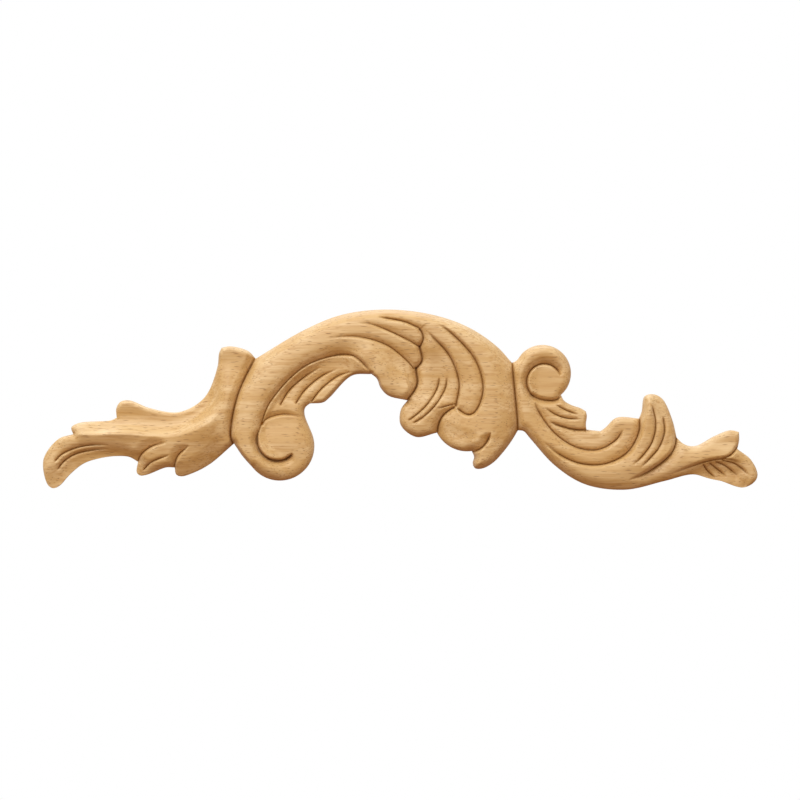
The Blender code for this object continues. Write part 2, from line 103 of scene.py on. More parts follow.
class Curve:
    """Polylines in millimetres, worked out from a few points."""

    STEP = 0.5
    SAMPLES = 24
    ROUND_SAMPLES = 96
    MOST_PAIRS = 1_000_000

    @staticmethod
    def evenly(path: Array, pitch: float) -> Array:
        """Points at an even pitch along a polyline.

        Args:
            path: The polyline, one point a row.
            pitch: Wanted spacing.

        Returns:
            The new polyline, with both ends kept.
        """
        run = np.concatenate([[0.0], np.cumsum(np.linalg.norm(np.diff(path, axis=0), axis=1))])
        marks = np.linspace(0.0, run[-1], max(1, round(run[-1] / pitch)) + 1)
        return np.column_stack([np.interp(marks, run, path[:, axis]) for axis in (0, 1)])

    @classmethod
    def smooth(cls, *points: Point) -> Array:
        """A centripetal Catmull-Rom curve: between two points, three blends of blends.

        Args:
            points: What the curve passes through, in order.

        Returns:
            The curve as an even polyline.
        """
        given = np.array(points, dtype=float)
        held = np.vstack([2 * given[0] - given[1], given, 2 * given[-1] - given[-2]])
        gaps = np.linalg.norm(np.diff(held, axis=0), axis=1) ** 0.5
        knots = np.concatenate([[0.0], np.cumsum(gaps)])
        pieces = []
        for i in range(len(given) - 1):
            k, p = knots[i:i + 4], held[i:i + 4]
            t = np.linspace(k[1], k[2], cls.SAMPLES, endpoint=False)[:, None]
            a = [((k[j + 1] - t) * p[j] + (t - k[j]) * p[j + 1]) / (k[j + 1] - k[j])
                 for j in range(3)]
            b = [((k[j + 2] - t) * a[j] + (t - k[j]) * a[j + 1]) / (k[j + 2] - k[j])
                 for j in range(2)]
            pieces.append(((k[2] - t) * b[0] + (t - k[1]) * b[1]) / (k[2] - k[1]))
        return cls.evenly(np.vstack(pieces + [given[-1:]]), cls.STEP)

    @classmethod
    def fan(cls, count: int, first: tuple[Point, ...], last: tuple[Point, ...]) -> list[Array]:
        """Smooth curves spread evenly between a first and a last one.

        Args:
            count: How many curves.
            first: Points of the first.
            last: Points of the last, as many as the first has.

        Returns:
            The polylines, first to last.
        """
        start, end = np.array(first, dtype=float), np.array(last, dtype=float)
        return [cls.smooth(*(start + share * (end - start))) for share in np.linspace(0.0, 1.0, count)]

    @classmethod
    def arc(cls, start: Point, via: Point, end: Point) -> Array:
        """The circular arc through three points, its centre found in the complex plane.

        Args:
            start: First point.
            via: A point on the way.
            end: Last point.

        Returns:
            The arc as an even polyline.
        """
        a, b, c = (complex(*point) for point in (start, via, end))
        w = (c - a) / (b - a)
        centre = (b - a) * (w - abs(w) ** 2) / (2j * w.imag) + a
        turn = np.angle((b - centre) / (a - centre)) + np.angle((c - centre) / (b - centre))
        points = centre + (a - centre) * np.exp(1j * np.linspace(0.0, turn, cls.ROUND_SAMPLES))
        return cls.evenly(np.column_stack([points.real, points.imag]), cls.STEP)

    @classmethod
    def spiral(cls, centre: Point, radii: Point, degrees: Point) -> Array:
        """A turn about a centre, its radius changing evenly from first to last.

        Args:
            centre: Middle of the turn.
            radii: First and last radius.
            degrees: First and last angle from +X, turning towards +Z.

        Returns:
            The turn as an even polyline.
        """
        turn = np.radians(np.linspace(*degrees, cls.ROUND_SAMPLES))
        reach = np.linspace(*radii, cls.ROUND_SAMPLES)
        around = np.column_stack([np.cos(turn), np.sin(turn)])
        return cls.evenly(np.array(centre) + reach[:, None] * around, cls.STEP)

    @staticmethod
    def beside(path: Array, offset: float) -> Array:
        """A path moved sideways: each point goes the offset along the path's left normal.

        Args:
            path: The polyline.
            offset: How far, + to the left of its travel.

        Returns:
            The moved polyline.
        """
        ahead = np.gradient(path, axis=0)
        ahead /= np.linalg.norm(ahead, axis=1)[:, None]
        return path + offset * np.column_stack([-ahead[:, 1], ahead[:, 0]])

    @staticmethod
    def near(at: Array, path: Array, reach: float) -> Array:
        """Which points may lie within reach of a path, by its widened bounding box.

        Args:
            at: The points.
            path: The polyline.
            reach: How far.

        Returns:
            Their indices.
        """
        low, high = path.min(axis=0) - reach, path.max(axis=0) + reach
        return np.nonzero(((at > low) & (at < high)).all(axis=1))[0]

    @classmethod
    def along(cls, at: Array, path: Array) -> tuple[Array, Array, Array]:
        """Where points lie beside a path: the nearest of their feet on all its segments.

        Args:
            at: The points, one a row.
            path: The polyline.

        Returns:
            Distance, side (+ is left of its travel) and share of the path's length.
        """
        start, step = path[:-1], np.diff(path, axis=0)
        length = np.linalg.norm(step, axis=1)
        run = np.concatenate([[0.0], np.cumsum(length)])
        found = []
        for block in np.array_split(at, len(at) * len(path) // cls.MOST_PAIRS + 1):
            offset = block[:, None, :] - start[None]
            share = np.clip((offset * step).sum(2) / length ** 2, 0.0, 1.0)
            gap = offset - share[:, :, None] * step
            distance = np.hypot(gap[:, :, 0], gap[:, :, 1])
            best = distance.argmin(axis=1)
            row = np.arange(len(block))
            side = step[best, 0] * offset[row, best, 1] - step[best, 1] * offset[row, best, 0]
            travelled = (run[best] + share[row, best] * length[best]) / run[-1]
            found.append(np.array([distance[row, best], side, travelled]))
        return tuple(np.hstack(found))


def eased(share: Array) -> Array:
    """A smooth step from 0 to 1: 3s^2 - 2s^3."""
    held = np.clip(share, 0.0, 1.0)
    return held * held * (3.0 - 2.0 * held)


@dataclass(frozen=True)
class Edge:
    """A stretch of the silhouette between two corners, and its rounding radius."""

    rounding: float
    path: Array


@dataclass(frozen=True)
class Stroke:
    """A crest or a cut: its height or depth, and its reach and profile on each side.

    Left and right are as seen along its path. It starts and ends over the shares fade_in and
    fade_out of its length, and nick is the share of the depth that the V tool cuts.
    """

    amount: float
    left: tuple[float, Profile]
    right: tuple[float, Profile]
    path: Array
    fade_in: float = 0.0
    fade_out: float = 0.0
    nick: float = 0.45

    def fade(self, share: Array, power: float) -> Array:
        """Strength along the stroke, eased in and out over its two end shares.

        Args:
            share: Place along the stroke, 0 to 1.
            power: 1 for an even ease, less for a quicker start and a later end.

        Returns:
            Strength from 0 to 1.
        """
        strength = np.ones(len(share))
        if self.fade_in:
            strength *= eased(share / self.fade_in) ** power
        if self.fade_out:
            strength *= eased((1.0 - share) / self.fade_out) ** power
        return strength

    def swept(self, at: Array, narrowing: float, power: float
              ) -> tuple[Array, Array, Array, Array]:
        """What the stroke adds or takes off: amount x fade x profile of the distance.

        Args:
            at: Points in millimetres.
            narrowing: Share of the reach that is lost where the stroke has faded out.
            power: How quickly it fades, as for fade.

        Returns:
            Indices of the points it reaches, the height there, distance and fade.
        """
        near = Curve.near(at, self.path, max(self.left[0], self.right[0]))
        distance, side, share = Curve.along(at[near], self.path)
        fade = self.fade(share, power)
        width = 1.0 - narrowing + narrowing * fade
        left = self.left[1].sweep(np.clip(distance / (self.left[0] * width), 0.0, 1.0))
        right = self.right[1].sweep(np.clip(distance / (self.right[0] * width), 0.0, 1.0))
        return near, self.amount * fade * np.where(side > 0.0, left, right), distance, fade


@dataclass(frozen=True)
class LeftLeaf:
    """The acanthus leaf that curls down to the left tip, with its two leaflets."""

    lobe_rounding: float = 1.8
    tip_rounding: float = 4.8
    leaflet_rounding: float = 2.6
    knob_rounding: float = 1.6
    arris_height: float = 3.4
    ridge_height: float = 2.6
    stem_height: float = 3.1
    vein_depth: float = 1.9

    def upper(self) -> tuple[Edge, ...]:
        """The top edge.

        Returns:
            Stretches from left to right.
        """
        return (
            Edge(self.lobe_rounding, Curve.smooth(
                (-137.1, -37.4), (-137.9, -34.6), (-134.6, -32.7), (-121.2, -31.6), (-118.9, -30.5))),
            Edge(self.lobe_rounding, Curve.smooth(
                (-118.9, -30.5), (-119.1, -26.7), (-117.4, -23.9), (-114, -23.2), (-105.2, -26.5),
                (-92.6, -28.1), (-82.1, -22), (-76.7, -9.2), (-76, -3.4), (-74.9, -1.2))),
            Edge(self.knob_rounding, Curve.smooth(
                (-74.9, -1.2), (-71.2, -0.6), (-64, -2.5), (-60.7, -5.8))),
        )

    def lower(self) -> tuple[Edge, ...]:
        """The bottom edge, round to the left tip.

        Returns:
            Stretches from right to left.
        """
        return (
            Edge(self.leaflet_rounding, Curve.smooth(
                (-69.8, -41.3), (-80, -50), (-87.2, -53.8), (-91.8, -55.1), (-94, -54.3),
                (-94.6, -51.4))),
            Edge(self.leaflet_rounding, Curve.smooth(
                (-94.6, -51.4), (-98.3, -51.4), (-106.5, -54.5), (-109.2, -54.7), (-110.5, -53.4),
                (-110, -49))),
            Edge(self.tip_rounding, Curve.smooth(
                (-110, -49), (-113.6, -47), (-118.7, -46.6), (-125.8, -47.5), (-133, -49.8),
                (-138.8, -54.4), (-143, -59), (-145.5, -60.1), (-147.8, -58.6), (-149.6, -48.1),
                (-143.4, -39.5), (-137.1, -37.4))),
        )

    def crests(self) -> tuple[Stroke, ...]:
        """The sharp ridge along the leaf, the round one up its stem, and what lies lower.

        Returns:
            Crests, those below zero being hollows.
        """
        hollow, dome = Profile.HOLLOW, Profile.DOME
        return (
            # The arris of the tip, the ridge that takes over from it, and the stem.
            Stroke(self.arris_height, (8.5, hollow), (9.0, Profile.SLOPE), Curve.smooth(
                (-145, -42), (-137.1, -38), (-128.7, -37.5), (-113, -37.5), (-104, -38.3),
                (-99, -38.5)), 0.2, 0.33),
            Stroke(self.ridge_height, (8.5, hollow), (16.0, dome), Curve.smooth(
                (-114, -37.5), (-104, -38.3), (-96, -38.4), (-89, -36.8), (-80.5, -33),
                (-74.5, -26.8)), 0.36, 0.35),
            Stroke(self.stem_height, (7.0, Profile.RIDGE), (9.5, Profile.RIDGE), Curve.smooth(
                (-100.1, -38.8), (-90, -37), (-80.5, -33), (-74.7, -26.8), (-72.2, -18.2),
                (-71.5, -10.3), (-71.5, -3)), 0.5, 0.35),
            # The hollow above them.
            Stroke(-2.0, (8.5, dome), (4.5, dome), Curve.smooth(
                (-134, -35.5), (-124, -33.5), (-114, -32.5), (-104, -33.3), (-95, -33.2),
                (-87, -30.5), (-81.5, -24.5), (-78.8, -16.5), (-78, -8)), 0.15, 0.2),
            # The knob at the top of the stem.
            Stroke(1.2, (7.0, dome), (7.0, dome), Curve.smooth(
                (-77, -1), (-69, -1.5), (-61, -6)), 0.0, 0.2),
            # The leaflets, which lie lower.
            Stroke(-3.0, (9.5, dome), (7.0, dome), Curve.smooth(
                (-146, -62), (-134, -52), (-120, -49.5), (-108, -56), (-92, -57.5), (-80, -52.5),
                (-68, -42)), 0.0, 0.1),
        )

    def cuts(self) -> tuple[Stroke, ...]:
        """The cut at the lower corner, the tip's veins and the grooves of the leaflets.

        Returns:
            Cuts.
        """
        slope, hollow = Profile.SLOPE, Profile.HOLLOW
        return (
            # The lower corner, beside the scroll.
            Stroke(2.4, (2.0, hollow), (5.0, hollow), Curve.smooth(
                (-71, -32), (-71.2, -38), (-69.8, -43)), 0.6),
            # Veins of the tip, and one of the middle leaflet.
            *(Stroke(self.vein_depth, (1.9, slope), (1.6, hollow), path, 0.06, 0.4, 0.6)
              for path in Curve.fan(
                  2, ((-145, -49.2), (-142, -46), (-136, -43.2), (-130, -42), (-122, -41.8)),
                  ((-144, -52.6), (-141, -48.8), (-136, -45.7), (-128.5, -44), (-121.5, -43.6)))),
            Stroke(1.7, (1.8, hollow), (1.6, hollow), Curve.smooth(
                (-108, -52.8), (-104.5, -49.3), (-96, -45.8)), 0.1, 0.4, 0.6),
            # The two leaflets.
            Stroke(3.0, (4.2, slope), (1.2, hollow), Curve.smooth(
                (-95, -51.8), (-93.2, -46.6), (-88.2, -42)), 0.0, 0.4, 0.25),
            Stroke(3.0, (4.2, slope), (1.2, hollow), Curve.smooth(
                (-110.5, -49.5), (-108.2, -45.6), (-103.6, -42.3), (-97.5, -40.8)), 0.0, 0.4, 0.25),
        )


@dataclass(frozen=True)
class Arch:
    """The arched band with its scroll, fluted web, leaf fingers, lobes and foot leaf."""

    band_rounding: float = 4.5
    scroll_rounding: float = 4.2
    heel_rounding: float = 1.9
    leaf_rounding: float = 2.8
    foot_rounding: float = 3.5
    pad_rounding: float = 1.2
    web_rounding: float = 1.9
    band_height: float = 3.7
    eye_centre: Point = (-50.6, -40.4)
    eye_radii: Point = (9.9, 7.4)
    eye_turn: Point = (141.0, 318.0)
    flute_depth: float = 2.4
    flutes: int = 3

    def upper(self) -> tuple[Edge, ...]:
        """The crown of the arch.

        Returns:
            One stretch, left to right.
        """
        return (
            Edge(self.band_rounding, Curve.smooth(
                (-60.7, -5.8), (-41, 5.9), (-25, 12.5), (-5.7, 14.8), (14, 12.5), (29, 7.1),
                (40.3, -0.6), (46.7, -7.5))),
        )

    def lower(self) -> tuple[Edge, ...]:
        """Foot leaf, lobes, fingers, fluted web and scroll.

        Returns:
            Stretches from right to left.
        """
        return (
            Edge(self.foot_rounding, Curve.smooth(
                (49.2, -35.8), (46.7, -40), (43, -45), (38.9, -49.3), (34.4, -51.8), (31.2, -51.7),
                (30.3, -49.6), (30.9, -47), (29.9, -44.5))),
            Edge(self.band_rounding, Curve.arc((29.9, -44.5), (20.6, -42.6), (15.3, -36.8))),
            Edge(self.leaf_rounding, Curve.smooth(
                (15.3, -36.8), (6.5, -38.6), (0.1, -33.6), (0.2, -27), (2.9, -23.3))),
            Edge(self.pad_rounding, Curve.smooth(
                (2.9, -23.3), (-5.1, -21.3), (-8.3, -18.1), (-9.9, -14.2), (-12.2, -12.2))),
            Edge(self.web_rounding, Curve.smooth(
                (-12.2, -12.2), (-20.4, -12.9), (-29.8, -22.1), (-32.4, -24.1), (-38.1, -24.6))),
            Edge(self.band_rounding, Curve.smooth(
                (-38.1, -24.6), (-40, -26.3), (-40.3, -28.9), (-37, -37.6))),
            Edge(self.scroll_rounding, Curve.arc((-37, -37.6), (-50.4, -56.9), (-61.7, -51.7))),
            Edge(self.heel_rounding, Curve.smooth((-61.7, -51.7), (-66.2, -46.6), (-69.8, -41.3))),
        )

    def crests(self) -> tuple[Stroke, ...]:
        """The band's round back, the leaf's roll, its finger pad and lobes, the eye and the web.

        Returns:
            Crests, those below zero being hollows.
        """
        dome = Profile.DOME
        return (
            # The band, in two lengths.
            Stroke(self.band_height, (13.0, dome), (8.4, Profile.SHOULDER), Curve.smooth(
                (-44, -52), (-49.5, -53), (-57, -50.5), (-64.5, -38), (-58.5, -19.5), (-46, -6),
                (-30, 2.5), (-12, 7.5)), 0.16, 0.18),
            Stroke(self.band_height, (13.0, dome), (21.0, dome), Curve.smooth(
                (-30, 2.5), (-12, 7.5), (5, 8.5), (22, 4.5), (35, -8), (38.5, -24), (37, -35),
                (33, -46.5)), 0.17),
            # The roll below the fingers.
            Stroke(2.6, (8.0, dome), (8.0, dome), Curve.smooth(
                (-26, -2.5), (-17, -4.5), (-9.5, -8.5), (-3, -13.5), (2, -18)), 0.4, 0.5),
            # The finger pad.
            Stroke(2.4, (11.0, dome), (5.5, dome), Curve.smooth(
                (-17, -12), (-9.5, -15.5), (-3, -18.2), (2, -19.3), (5.5, -18.5)), 0.3, 0.1),
            # The vein lobe.
            Stroke(1.6, (7.0, dome), (7.0, dome), Curve.smooth(
                (15, -19), (12.5, -26), (8.5, -32), (4, -38)), 0.3, 0.3),
            # The scroll's eye.
            Stroke(1.2, (9.5, dome), (9.5, dome), Curve.smooth(
                (-52, -41.5), (-47, -41))),
            # Hollows of the web, the round lobe and the leaf between its rolls.
            Stroke(-1.2, (5.0, dome), (8.0, dome), Curve.smooth(
                (-51.5, -25), (-41, -15.5), (-29.5, -10), (-18.5, -10)), 0.2, 0.2),
            Stroke(-1.3, (6.0, dome), (6.0, dome), Curve.smooth(
                (14, -35.5), (22, -38.5), (32, -42)), 0.1, 0.2),
            Stroke(-0.8, (6.0, dome), (6.0, dome), Curve.smooth(
                (13, 0), (16, -6.5), (17.5, -15), (15, -25)), 0.3, 0.3),
        )

    def scroll_cuts(self) -> tuple[Stroke, ...]:
        """The seam to the leaf, the inner edge of the band, the scroll's eye and the flutes.

        Returns:
            Cuts.
        """
        slope, hollow = Profile.SLOPE, Profile.HOLLOW
        return (
            # The seam to the leaf.
            Stroke(4.0, (2.8, hollow), (3.6, slope), Curve.smooth(
                (-60.7, -5), (-68, -21), (-71, -37), (-70, -42)), nick=0.35),
            # The inner edge of the band, and its turn down over the pad.
            Stroke(1.8, (2.2, slope), (0.9, hollow), Curve.smooth(
                (-59.6, -37.8), (-58, -32.5), (-54.5, -24), (-40, -9), (-23.5, -4), (-20, -5)),
                0.1, 0.12, 0.3),
            Stroke(2.2, (1.5, hollow), (1.4, slope), Curve.smooth(
                (-28, -4.4), (-20, -4.5), (-14.5, -9), (-12, -12.5)), 0.35, 0.3, 0.3),
            # The groove round the eye.
            Stroke(5.0, (1.2, hollow), (3.4, slope),
                   Curve.spiral(self.eye_centre, self.eye_radii, self.eye_turn), 0.3, 0.08, 0.4),
            # The fold above the eye.
            Stroke(1.6, (2.4, slope), (1.4, hollow), Curve.smooth(
                (-58, -33.5), (-56, -31), (-48.5, -29), (-40.5, -30.5)), 0.0, 0.5, 0.1),
            # The web's flutes.
            *(Stroke(self.flute_depth, (2.8, slope), (1.0, hollow), path, 0.04, 0.4, 0.45)
              for path in Curve.fan(
                  self.flutes, ((-50.5, -25.6), (-46.5, -19), (-39, -12.6), (-33, -9.2)),
                  ((-37.6, -24.2), (-33, -18.4), (-25.5, -12.8), (-19.5, -11.2)))),
        )

    def finger_cuts(self) -> tuple[Stroke, ...]:
        """Three fingers that lie over the leaf: the lines between them and their round ends.

        Returns:
            Cuts.
        """
        slope, hollow = Profile.SLOPE, Profile.HOLLOW
        return (
            # The lines between the fingers, lowest first.
            Stroke(2.0, (2.8, hollow), (1.8, hollow), Curve.smooth(
                (-31.5, 2.6), (-18.5, 3.4), (-6, 0), (3, -7), (5.5, -10)), 0.6, 0.0, 0.35),
            Stroke(2.0, (2.8, hollow), (1.6, hollow), Curve.smooth(
                (-18.5, 9), (-12, 8.5), (4, 1.5), (8, -1)), 0.5, 0.0, 0.35),
            Stroke(2.4, (2.6, hollow), (1.6, hollow), Curve.smooth(
                (-9.5, 11.7), (2, 9.5), (7.5, 7.1)), 0.3, 0.0, 0.4),
            # The round ends of the fingers and the pad.
            Stroke(3.4, (4.4, hollow), (1.8, slope), Curve.smooth(
                (7.5, 7.1), (9, 5), (9.5, 2.5), (8, -1)), 0.1),
            Stroke(3.6, (4.4, hollow), (2.0, slope), Curve.smooth(
                (7.9, -0.6), (9, -6.5), (6.5, -10))),
            Stroke(4.0, (3.2, hollow), (3.0, slope), Curve.smooth(
                (6.4, -9.7), (6.9, -16.8), (2.7, -23.4))),
        )

    def lobe_cuts(self) -> tuple[Stroke, ...]:
        """The leaf's long rolls, the vein lobe, the round lobe and the foot leaf.

        Returns:
            Cuts.
        """
        slope, hollow = Profile.SLOPE, Profile.HOLLOW
        return (
            # The two long rolls.
            Stroke(2.8, (1.6, hollow), (4.0, hollow), Curve.smooth(
                (11, 5.7), (20.5, -4.7), (24.5, -16), (23.2, -25.6)), 0.25, 0.0, 0.4),
            Stroke(2.8, (1.6, hollow), (4.0, hollow), Curve.smooth(
                (15, 9), (21, 5), (31.3, -6.5), (34.5, -18.5), (31.5, -27.6), (28.5, -29.3),
                (23.2, -26.4)), 0.2, 0.05, 0.4),
            # The seam between the two lobes.
            Stroke(3.4, (3.2, hollow), (3.2, slope), Curve.smooth(
                (23.3, -25.8), (20.5, -27.3), (17.5, -30), (15.9, -33.5), (15.3, -37.2)), 0.1),
            # Veins of the one, and a short line above the other.
            *(Stroke(1.7, (1.5, hollow), (1.5, hollow), path, 0.15, 0.08, 0.6)
              for path in Curve.fan(
                  2, ((16.3, -13.6), (15.4, -18), (11.5, -24.5), (7, -29), (3, -31.9)),
                  ((19.4, -13.6), (18.8, -18), (14.6, -25.2), (9.5, -30.2), (5, -33)))),
            Stroke(1.1, (1.6, hollow), (1.6, hollow), Curve.smooth(
                (15, -26.8), (23.5, -24.5)), 0.4, 0.1, 0.6),
            # The edge of the foot leaf.
            Stroke(3.8, (1.0, hollow), (4.2, slope), Curve.smooth(
                (37.7, -36.6), (36.2, -40.5), (33.4, -43.5), (29.8, -45)), 0.3, 0.0, 0.2),
        )

    def cuts(self) -> tuple[Stroke, ...]:
        """All the grooves of the arch."""
        return self.scroll_cuts() + self.finger_cuts() + self.lobe_cuts()


@dataclass(frozen=True)
class RightScroll:
    """The scroll at the right, the fan under it, the fin leaf and the forked tail."""

    ring_rounding: float = 3.6
    fan_rounding: float = 2.4
    cup_rounding: float = 1.6
    cup_floor_rounding: float = 1.8
    leaf_rounding: float = 3.0
    fork_rounding: float = 2.2
    tail_rounding: float = 2.6
    belly_rounding: float = 4.5
    ring_height: float = 1.6
    eye_centre: Point = (60.6, -15.1)
    eye_radii: Point = (8.2, 6.6)
    eye_turn: Point = (234.0, 18.0)
    tail_flutes: int = 4

    def upper(self) -> tuple[Edge, ...]:
        """Ring, fan, cup, fin leaf and the tail's upper lobe.

        Returns:
            Stretches from left to right.
        """
        return (
            Edge(self.ring_rounding, Curve.smooth((46.7, -7.5), (48.6, -6.6), (51, -3.6))),
            Edge(self.ring_rounding, Curve.arc((51, -3.6), (71.4, -11.3), (67.2, -21))),
            Edge(self.fan_rounding, Curve.smooth(
                (67.2, -21), (68.5, -23.3), (71.6, -25.2), (75.4, -26.5), (77.7, -27.9))),
            Edge(self.cup_rounding, Curve.smooth((77.7, -27.9), (78.1, -29.8), (77.7, -33), (77.9, -35.5))),
            Edge(self.cup_floor_rounding, Curve.smooth((77.9, -35.5), (83.9, -36.2))),
            Edge(self.fan_rounding, Curve.smooth(
                (83.9, -36.2), (85.9, -34.8), (89.9, -30.9), (92.6, -30.2), (100.1, -30.9))),
            Edge(self.leaf_rounding, Curve.smooth(
                (100.1, -30.9), (101.2, -28.1), (102.3, -21.8), (104.4, -20.7), (107.3, -21),
                (110.2, -23.2), (113.9, -31.5), (115.7, -38.9))),
            Edge(self.leaf_rounding, Curve.smooth(
                (115.7, -38.9), (118.2, -41.2), (121.2, -42.4), (124.5, -42.2), (131.7, -38.3),
                (138.4, -35.8), (141.8, -36.5))),
            Edge(self.fork_rounding, Curve.smooth((141.8, -36.5), (141.9, -39.9), (141.1, -43.6))),
        )

    def lower(self) -> tuple[Edge, ...]:
        """The tail's lower lobe and the belly.

        Returns:
            Stretches from right to left.
        """
        return (
            Edge(self.tail_rounding, Curve.smooth(
                (141.1, -43.6), (146.8, -48.1), (149.6, -54.2), (148.5, -57.2), (143.6, -59.8),
                (134.5, -57.1))),
            Edge(self.belly_rounding, Curve.smooth(
                (134.5, -57.1), (129.6, -56.1), (122.6, -54.3), (110.5, -57.1), (94.3, -60.7),
                (77.5, -58.5), (64.9, -50.7), (54.4, -39.2), (51.7, -36.2), (49.2, -35.8))),
        )

    def crests(self) -> tuple[Stroke, ...]:
        """The ring's round back down to the tail, the fin leaf, the cup and the tail's two lobes.

        Returns:
            Crests, those below zero being hollows.
        """
        dome = Profile.DOME
        return (
            # The ring, and the belly down to the tail.
            Stroke(self.ring_height, (7.0, dome), (8.0, dome), Curve.smooth(
                (71.3, -11), (69.5, -6.3), (65.5, -3.3), (60.5, -2), (52, -7.5), (51, -16),
                (54, -33), (70.5, -49.5), (84, -53), (97, -51), (112, -48), (128, -44),
                (137.5, -40)), 0.1, 0.2),
            # The back of the fin leaf, and the hollow between its veins.
            Stroke(2.2, (14.0, dome), (3.0, dome), Curve.smooth(
                (104, -16), (103.5, -28), (102, -38), (97.5, -46), (90, -52)), 0.3, 0.4),
            Stroke(-1.4, (5.0, dome), (5.0, dome), Curve.smooth(
                (106, -14), (108, -22), (109, -30), (108, -38)), 0.1, 0.4),
            # The cup.
            Stroke(-1.2, (6.0, dome), (6.0, dome), Curve.smooth(
                (67, -31.5), (75.5, -38), (85, -39), (93, -31.5)), 0.4, 0.5),
            # The tail's lower lobe: its fall to the edge, its hollow and its fold.
            Stroke(-2.8, (10.5, dome), (5.0, dome), Curve.smooth(
                (116, -59), (127, -58.5), (139, -61.5), (147, -62)), 0.3, 0.1),
            Stroke(-1.9, (5.0, dome), (5.0, dome), Curve.smooth(
                (124, -51.5), (132, -52.3), (139, -53.5), (144.5, -56)), 0.4, 0.2),
            Stroke(1.8, (7.0, dome), (2.6, Profile.RIDGE), Curve.smooth(
                (114, -53.2), (121, -50.7), (130, -47.9), (138, -47.5), (144.5, -48.3)),
                0.4, 0.25),
        )

    def ring_cuts(self) -> tuple[Stroke, ...]:
        """The seam to the arch, the eye, the two long stem grooves and the fan.

        Returns:
            Cuts.
        """
        slope, hollow = Profile.SLOPE, Profile.HOLLOW
        return (
            # The seam to the arch.
            Stroke(3.8, (3.2, hollow), (4.0, hollow), Curve.smooth(
                (46.7, -6.5), (47.3, -14), (48.9, -31), (49.2, -36.6)), nick=0.4),
            # The groove round the eye, and the line below it.
            Stroke(3.4, (3.2, slope), (1.0, hollow),
                   Curve.spiral(self.eye_centre, self.eye_radii, self.eye_turn), 0.0, 0.1, 0.25),
            Stroke(3.0, (1.6, slope), (3.0, hollow), Curve.smooth(
                (55.2, -21.1), (58, -22.6), (64.5, -23.2), (67.6, -21.5)), 0.0, 0.2, 0.1),
            # The two long stem grooves.
            Stroke(2.7, (3.4, hollow), (1.6, hollow), Curve.smooth(
                (56, -23.6), (58, -28.3), (65, -37.4), (74, -43), (82.5, -43.9), (90, -40),
                (93.2, -35.5)), 0.15, 0.1, 0.4),
            Stroke(3.0, (3.4, hollow), (1.6, hollow), Curve.smooth(
                (59.5, -40.5), (67, -46.2), (76, -49.8), (86, -49.7), (95, -45), (99.8, -36.5),
                (100.1, -30.2)), 0.25, 0.0, 0.3),
            # The fan's veins and its lower edge.
            Stroke(1.5, (1.6, hollow), (1.6, hollow), Curve.smooth(
                (64.5, -24.8), (69.5, -27.5), (74.5, -29.3)), 0.3, 0.3, 0.6),
            Stroke(1.8, (1.8, hollow), (1.6, hollow), Curve.smooth(
                (60.5, -26.3), (64, -28.7), (68.5, -30.5), (75, -31.2)), 0.3, 0.25, 0.6),
            Stroke(2.6, (1.6, hollow), (3.0, slope), Curve.smooth(
                (62, -31.8), (65, -33.3), (73, -35.5), (78.5, -35.6)), 0.3, 0.0, 0.4),
        )

    def tail_cuts(self) -> tuple[Stroke, ...]:
        """Veins and edge of the fin leaf, the fold of the tail and its flutes.

        Returns:
            Cuts.
        """
        slope, hollow = Profile.SLOPE, Profile.HOLLOW
        return (
            # Veins of the fin leaf, and its edge on the belly.
            *(Stroke(1.9, (1.9, slope), (1.7, hollow), path, 0.12, 0.2, 0.6)
              for path in Curve.fan(
                  2, ((105.2, -25.2), (106.7, -33), (105.2, -40.5), (101.5, -46), (97, -50.5)),
                  ((109.8, -29.8), (110.4, -36.5), (108, -43), (104.2, -47.5), (100.5, -51.2)))),
            Stroke(3.8, (5.0, hollow), (2.0, hollow), Curve.smooth(
                (115.6, -38.4), (115, -42.3), (112.5, -46.5), (103.5, -53.3), (95.5, -56.6)),
                0.0, 0.4, 0.3),
            # The fold of the tail, and its fork.
            Stroke(1.8, (1.6, slope), (2.2, slope), Curve.smooth(
                (112, -54.5), (121, -51.2), (130, -48.4), (137.5, -47.9), (143.5, -50.2)),
                0.5, 0.35, 0.2),
            Stroke(2.4, (1.4, slope), (1.1, hollow), Curve.smooth(
                (133.5, -47.4), (137, -46.8), (139.5, -44.8), (141.3, -42.4)), 0.4, 0.0, 0.4),
            # The tail's flutes.
            *(Stroke(1.6, (1.2, hollow), (2.6, slope), path, 0.12, 0.3, 0.35)
              for path in Curve.fan(
                  self.tail_flutes, ((126.4, -49.6), (128.9, -53), (132.2, -55.8)),
                  ((133.9, -48.2), (140.1, -49.8), (145.9, -54.6)))),
        )

    def cuts(self) -> tuple[Stroke, ...]:
        """All the grooves of the right side."""
        return self.ring_cuts() + self.tail_cuts()


def linear(code: str) -> Colour:
    """An sRGB hex colour as linear light, with full alpha.

    Args:
        code: Such as "#c0a070".

    Returns:
        Red, green, blue and alpha for a colour socket.
    """
    levels = np.array([int(code[i:i + 2], 16) for i in (1, 3, 5)]) / 255.0
    bent = np.where(levels <= 0.04045, levels / 12.92, ((levels + 0.055) / 1.055) ** 2.4)
    return (*bent.tolist(), 1.0)


def feed(tree: Tree, node: bpy.types.Node, inputs: dict[str | int, object]) -> None:
    """Gives a node plain values and links.

    Args:
        tree: The node's tree.
        node: The node.
        inputs: Values or output sockets by input name or number.
    """
    for name, value in inputs.items():
        if isinstance(value, Socket):
            tree.links.new(value, node.inputs[name])
        else:
            node.inputs[name].default_value = value


